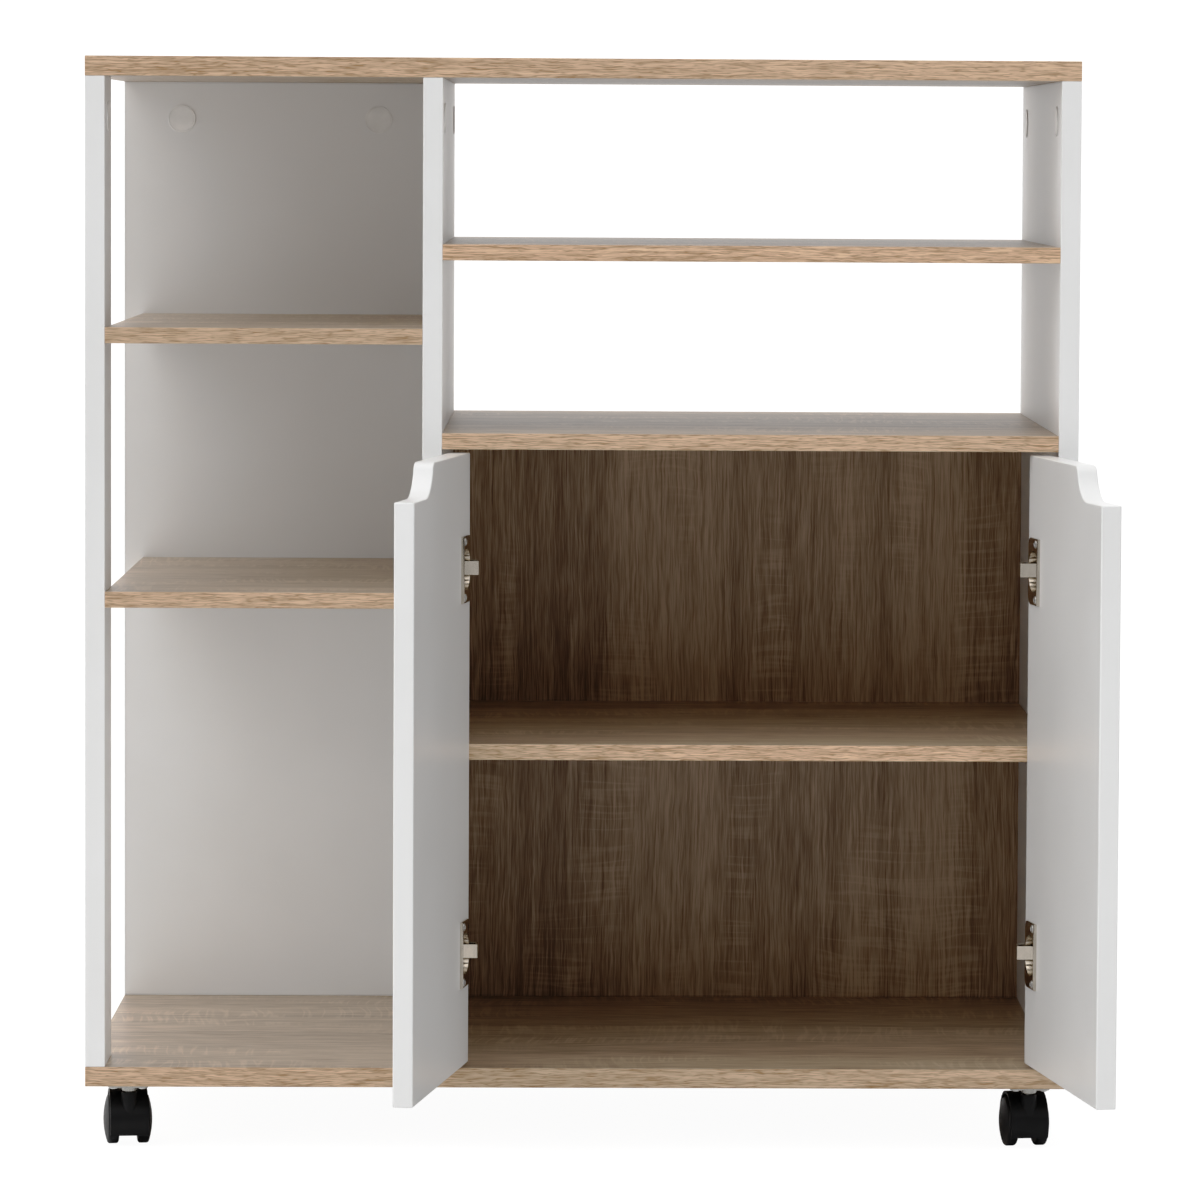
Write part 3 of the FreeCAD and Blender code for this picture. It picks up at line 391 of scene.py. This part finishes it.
# The first ending that a node's name has gives its material
LOOKS = [
    (("_door",), wrapped("white_door_foil")),
    (("_hinge_cup", "_hinge_arm", "_hinge_plate", "shelf_pins"), nickel),
    (("_hinge_pins",), metal("hinge_pin_steel", (0.62, 0.62, 0.62), 0.2)),
    (("_screws", "cam_bolts"), zinc),
    (("_plate",), metal("castor_plate_zinc", (0.42, 0.41, 0.38), 0.28)),
    (("_axle",), metal("axle_steel", (0.55, 0.55, 0.56), 0.35)),
    (("_hood",), plastic("castor_hood_black", (0.0105, 0.0105, 0.011), 0.42, 0.25)),
    (("_wheel",), plastic("castor_wheel_grey", (0.014, 0.014, 0.015), 0.48, 0.3)),
    (("cam_locks",), metal("cam_zinc", (0.52, 0.52, 0.52), 0.45)),
    (("cam_covers", "screw_caps"), cap_white),
    (("dowels",), beech("dowel_beech")),
]
for node in NODES:
    for endings, mat in LOOKS:
        if node.endswith(endings):
            dress(node, mat)
            break

# ---------------------------------------------------------------- turned fasteners and covers

UPRIGHTS = [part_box(node) for node in ("left_front_post", "left_back_panel", "centre_panel",
                                      "right_side_panel")]
TURNS = 32
# Lengths that differ by less than this are the same, also in decimals of a metre
SAME, DECIMALS = 0.01 * MM, 5


def merged(node):
    """A node's mesh with its split corners joined again."""
    mesh = bmesh.new()
    mesh.from_mesh(NODES[node].data)
    bmesh.ops.remove_doubles(mesh, verts=mesh.verts, dist=0.002 * MM)
    return mesh


def solids(node):
    """The points of each separate solid of a node."""
    mesh = merged(node)
    left = dict.fromkeys(mesh.verts)
    while left:
        reached = [next(iter(left))]
        del left[reached[0]]
        for vert in reached:
            for edge in vert.link_edges:
                other = edge.other_vert(vert)
                if other in left:
                    del left[other]
                    reached.append(other)
        yield np.array([vert.co[:] for vert in reached])
    mesh.free()


def in_upright(point):
    return any(all(low[i] < point[i] < high[i] for i in range(3)) for low, high in UPRIGHTS)


def turned_outline(cloud):
    """A turned solid's outer end, its axis inwards, and its depths and radii from that end.

    The outer end is the wider one. Where both are as wide, it is the one outside the boards.
    """
    middle = cloud.mean(0)
    spreads, ways = np.linalg.eigh(np.cov((cloud - middle).T))
    axis = ways[:, 2] if spreads[2] - spreads[1] > spreads[1] - spreads[0] else ways[:, 0]
    depth = (cloud - middle) @ axis
    radius = np.linalg.norm(cloud - middle - np.outer(depth, axis), axis=1)
    near = radius[depth < depth.min() + SAME].max()
    far = radius[depth > depth.max() - SAME].max()
    beyond = middle + axis * (depth.min() - 0.5 * MM)
    if far > near + SAME or (abs(far - near) < SAME and in_upright(beyond)):
        axis, depth = -axis, -depth
    end = middle + axis * depth.min()
    rings = sorted({(round(d - depth.min(), DECIMALS), -round(r, DECIMALS))
                    for d, r in zip(depth, radius)})
    return Vector(end), Vector(axis), [(d, -r) for d, r in rings]


def lathe(shape, end, axis, outline, dent=lambda radius, turn: 0.0):
    """Adds a closed turned form to a mesh. The outline runs from its outer end to its inner one."""
    side = axis.orthogonal().normalized()
    other = axis.cross(side)
    first = shape.verts.new(end + axis * (outline[0][0] + dent(0.0, 0)))
    rows = []
    for depth, radius in outline:
        row = []
        for turn in range(TURNS):
            angle = 2 * math.pi * turn / TURNS
            out = side * math.cos(angle) + other * math.sin(angle)
            row.append(shape.verts.new(end + axis * (depth + dent(radius, turn)) + out * radius))
        rows.append(row)
    last = shape.verts.new(end + axis * outline[-1][0])
    for turn in range(TURNS):
        after = (turn + 1) % TURNS
        shape.faces.new((first, rows[0][after], rows[0][turn]))
        for row, below in zip(rows, rows[1:]):
            shape.faces.new((row[turn], row[after], below[after], below[turn]))
        shape.faces.new((last, rows[-1][turn], rows[-1][after]))


def screw_outline(outline):
    """A domed or sunk head with a rounded rim, and a shank with a blunt point.

    Gives the outline, the head's radius and the depth of the head's underside.
    """
    head, shank, length = outline[0][1], outline[-1][1], outline[-1][0]
    under = outline[1][0]
    domed = outline[1][1] > head - SAME
    rise = 0.42 * under if domed else 0.15 * MM
    rows = [(rise * part ** 2.4, head * part) for part in (0.2, 0.42, 0.52, 0.72, 0.88, 0.97)]
    if domed:
        rows += [(rise * 1.3, head), (under * 0.9, head), (under, head * 0.97)]
    else:
        rows.append((0.4 * MM, head))
    rows += [(under, shank), (length - shank, shank), (length, shank * 0.35)]
    return rows, head, under


def cross_dent(head, under):
    """The cross slot of a screw head: its depth at a radius and a turn."""
    quarter = TURNS // 4

    def dent(radius, turn):
        aside = min(turn % quarter, quarter - turn % quarter)
        inside = radius < 0.3 * head or (radius < 0.45 * head and aside <= 1)
        return 0.62 * under if inside and (aside <= 2 or radius == 0.0) else 0.0
    return dent


# A pressed cap has a nearly flat middle, a fine groove and a raised rim: shares of its
# thickness, from the outside in, and of its radius
CAP_MARKS = [(0.14, 0.30), (0.12, 0.60), (0.10, 0.87), (0.50, 0.885), (0.50, 0.915),
             (0.05, 0.93), (0.0, 0.955), (0.08, 0.985), (0.32, 1.0), (1.0, 1.0)]


def finished(name, shape, mat, body, node, crease=32):
    """Turns a mesh into a piece that stands for a CAD node and rides on its body."""
    bmesh.ops.recalc_face_normals(shape, faces=shape.faces)
    mesh = bpy.data.meshes.new(name)
    shape.to_mesh(mesh)
    shape.free()
    mesh.polygons.foreach_set("use_smooth", [True] * len(mesh.polygons))
    mesh.set_sharp_from_angle(angle=math.radians(crease))
    mesh.materials.append(mat)
    piece = bpy.data.objects.new(name, mesh)
    bpy.context.scene.collection.objects.link(piece)
    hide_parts(node)
    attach(piece, body)


SCREWS = [("left_cup_screws", "left_door_leaf"), ("right_cup_screws", "right_door_leaf"),
          ("hinge_plate_screws", "carcass"), ("hinge_arm_screws", "carcass"),
          ("castor_screws", "carcass"), ("long_screws", "carcass")]
for node, body in SCREWS:
    shape = bmesh.new()
    for cloud in solids(node):
        end, axis, outline = turned_outline(cloud)
        rows, head, under = screw_outline(outline)
        lathe(shape, end, axis, rows, cross_dent(head, under))
    finished(node + "_cross", shape, zinc, body, node)

for node in ("cam_covers", "screw_caps"):
    shape = bmesh.new()
    for cloud in solids(node):
        end, axis, outline = turned_outline(cloud)
        radius, thick = outline[0][1], outline[-1][0]
        lathe(shape, end, axis, [(thick * down, radius * out) for down, out in CAP_MARKS])
    finished(node + "_pressed", shape, cap_white, "carcass", node)

# ---------------------------------------------------------------- hinges with rolled edges

# How far the edges of each piece of a hinge are rounded, and the ends of a flange's lip
ROUND = {"cup": 0.3 * MM, "arm": 0.35 * MM, "plate": 0.4 * MM}
LIP_ROUND = 1.3 * MM


def lip_ends(shape):
    """The short edges across the top of a flange's lip, at its two ends."""
    levels = [vert.co.z for vert in shape.verts]
    chosen = []
    for end in (min(levels), max(levels)):
        there = [edge for edge in shape.edges
                 if all(abs(vert.co.z - end) < 0.02 * MM for vert in edge.verts)]
        ways = [(edge.verts[1].co - edge.verts[0].co).normalized() for edge in there]
        main_way = max(zip(there, ways), key=lambda pair: pair[0].calc_length())[1]
        chosen += [edge for edge, way in zip(there, ways)
                   if edge.calc_length() < 2 * MM and abs(way.dot(main_way)) > 0.99]
    return chosen


def round_edges(shape, edges, width, segments):
    bmesh.ops.bevel(shape, geom=edges, offset=width, offset_type="OFFSET", segments=segments,
                    profile=0.5, affect="EDGES", clamp_overlap=True)


def rolled(stem, part, body):
    """A folded steel piece of a hinge with its sharp edges rounded."""
    node = stem + part
    shape = merged(node)
    bmesh.ops.dissolve_limit(shape, angle_limit=math.radians(1), verts=shape.verts,
                             edges=shape.edges)
    if part == "cup":
        round_edges(shape, lip_ends(shape), LIP_ROUND, 4)
    sharp = [edge for edge in shape.edges
             if edge.is_manifold and edge.calc_face_angle(0.0) > math.radians(40)]
    round_edges(shape, sharp, ROUND[part], 2)
    finished(node + "_rolled", shape, nickel, body, node, crease=25)


for hand in ("left", "right"):
    for level in ("upper", "lower"):
        for part, body in (("cup", hand + "_door_leaf"), ("arm", "carcass"), ("plate", "carcass")):
            rolled(hand + "_" + level + "_hinge_", part, body)

# ---------------------------------------------------------------- camera

# Fitted to the photograph: the place in millimetres and the turns in radians
CAMERA_PLACE = (402.2, -4873.7, 808.7)
PAN, TILT, ROLL = -0.01903, -0.06048, 0.00574

camera_data = bpy.data.cameras.new("camera")
camera_data.sensor_width = 36.0
camera_data.lens = 181.76
camera_data.shift_x = -0.0833
camera_data.shift_y = -0.0667
camera_data.clip_end = 60.0
camera = bpy.data.objects.new("camera", camera_data)
bpy.context.scene.collection.objects.link(camera)
camera.matrix_world = (Matrix.Translation(place(*CAMERA_PLACE)) @ Matrix.Rotation(PAN, 4, "Z")
                       @ Matrix.Rotation(math.pi / 2 + TILT, 4, "X")
                       @ Matrix.Rotation(ROLL, 4, "Z"))
bpy.context.scene.camera = camera

# ---------------------------------------------------------------- floor and light

FLOOR_CORNERS = [(-14, -9, 0), (14, -9, 0), (14, 16, 0), (-14, 16, 0)]
floor_mesh = bpy.data.meshes.new("studio_floor")
floor_mesh.from_pydata(FLOOR_CORNERS, [], [(0, 1, 2, 3)])
floor = bpy.data.objects.new("studio_floor", floor_mesh)
bpy.context.scene.collection.objects.link(floor)
floor_look = Graph("studio_floor_look", 0.9)
floor_look.shader.inputs["Base Color"].default_value = (0.86, 0.86, 0.86, 1)
floor_look.shader.inputs["Specular IOR Level"].default_value = 0.0
# Looked at, the floor is the white sweep of a studio, with only a trace of shadow
glow = floor_look.tree.nodes.new("ShaderNodeBsdfPrincipled")
glow.inputs["Base Color"].default_value = (0.12, 0.12, 0.12, 1)
glow.inputs["Specular IOR Level"].default_value = 0.0
glow.inputs["Emission Color"].default_value = (1, 1, 1, 1)
glow.inputs["Emission Strength"].default_value = 0.95
floor_path = floor_look.tree.nodes.new("ShaderNodeLightPath")
floor_mix = floor_look.tree.nodes.new("ShaderNodeMixShader")
floor_look.plug(floor_mix.inputs[0], floor_path.outputs["Is Camera Ray"])
floor_look.plug(floor_mix.inputs[1], floor_look.shader.outputs[0])
floor_look.plug(floor_mix.inputs[2], glow.outputs[0])
floor_look.plug(floor_look.tree.nodes["Material Output"].inputs["Surface"], floor_mix.outputs[0])
floor_mesh.materials.append(floor_look.mat)

# Soft light from all round, strongest from above on the left: the direction, tightness and
# strength of each part
SOFT_LIGHT = [
    ((-0.7, -0.7, 1.0), 6, 1.88),
    ((0.7, -0.7, 1.0), 6, 0.85),
    ((0.0, 0.0, 1.0), 6, 1.00),
    ((-1.0, 0.0, 0.6), 6, 0.60),
    ((-1.0, 1.0, 0.6), 6, 0.30),
    ((0.0, 1.0, 0.15), 1, 1.10),
]
world = bpy.data.worlds.new("studio")
world.use_nodes = True
bpy.context.scene.world = world
sky = world.node_tree
sky_way = sky.nodes.new("ShaderNodeTexCoord").outputs["Generated"]


def sky_math(operation, *values):
    return maths(sky, operation, *values).outputs[0]


light = 0.0
for way, tightness, strength in SOFT_LIGHT:
    towards = sky.nodes.new("ShaderNodeVectorMath")
    towards.operation = "DOT_PRODUCT"
    plug(sky, towards.inputs[0], sky_way)
    plug(sky, towards.inputs[1], Vector(way).normalized())
    lobe = sky_math("POWER", sky_math("MAXIMUM", towards.outputs["Value"], 0.0), tightness)
    light = sky_math("MULTIPLY_ADD", lobe, strength, light)
# Looked at, the sky is plain white at least
seen = sky.nodes.new("ShaderNodeLightPath").outputs["Is Camera Ray"]
background = sky.nodes["Background"]
background.inputs["Color"].default_value = (1, 1, 1, 1)
plug(sky, background.inputs["Strength"], sky_math("MAXIMUM", light, seen))

# The tone of a product photograph, between black and white: deeper shadows, and whites a
# little lifted
TONES = [(0.0176, 0.0090), (0.032, 0.0238), (0.045, 0.0405), (0.063, 0.0635), (0.100, 0.109),
         (0.137, 0.155), (0.200, 0.218), (0.300, 0.306), (0.400, 0.394), (0.550, 0.560),
         (0.720, 0.750)]
COMBINED = 3
grade = bpy.context.scene.view_settings
grade.view_transform = "Standard"
grade.use_curve_mapping = True
grade.curve_mapping.use_clip = False
for level, shown in TONES:
    grade.curve_mapping.curves[COMBINED].points.new(level, shown)
grade.curve_mapping.update()
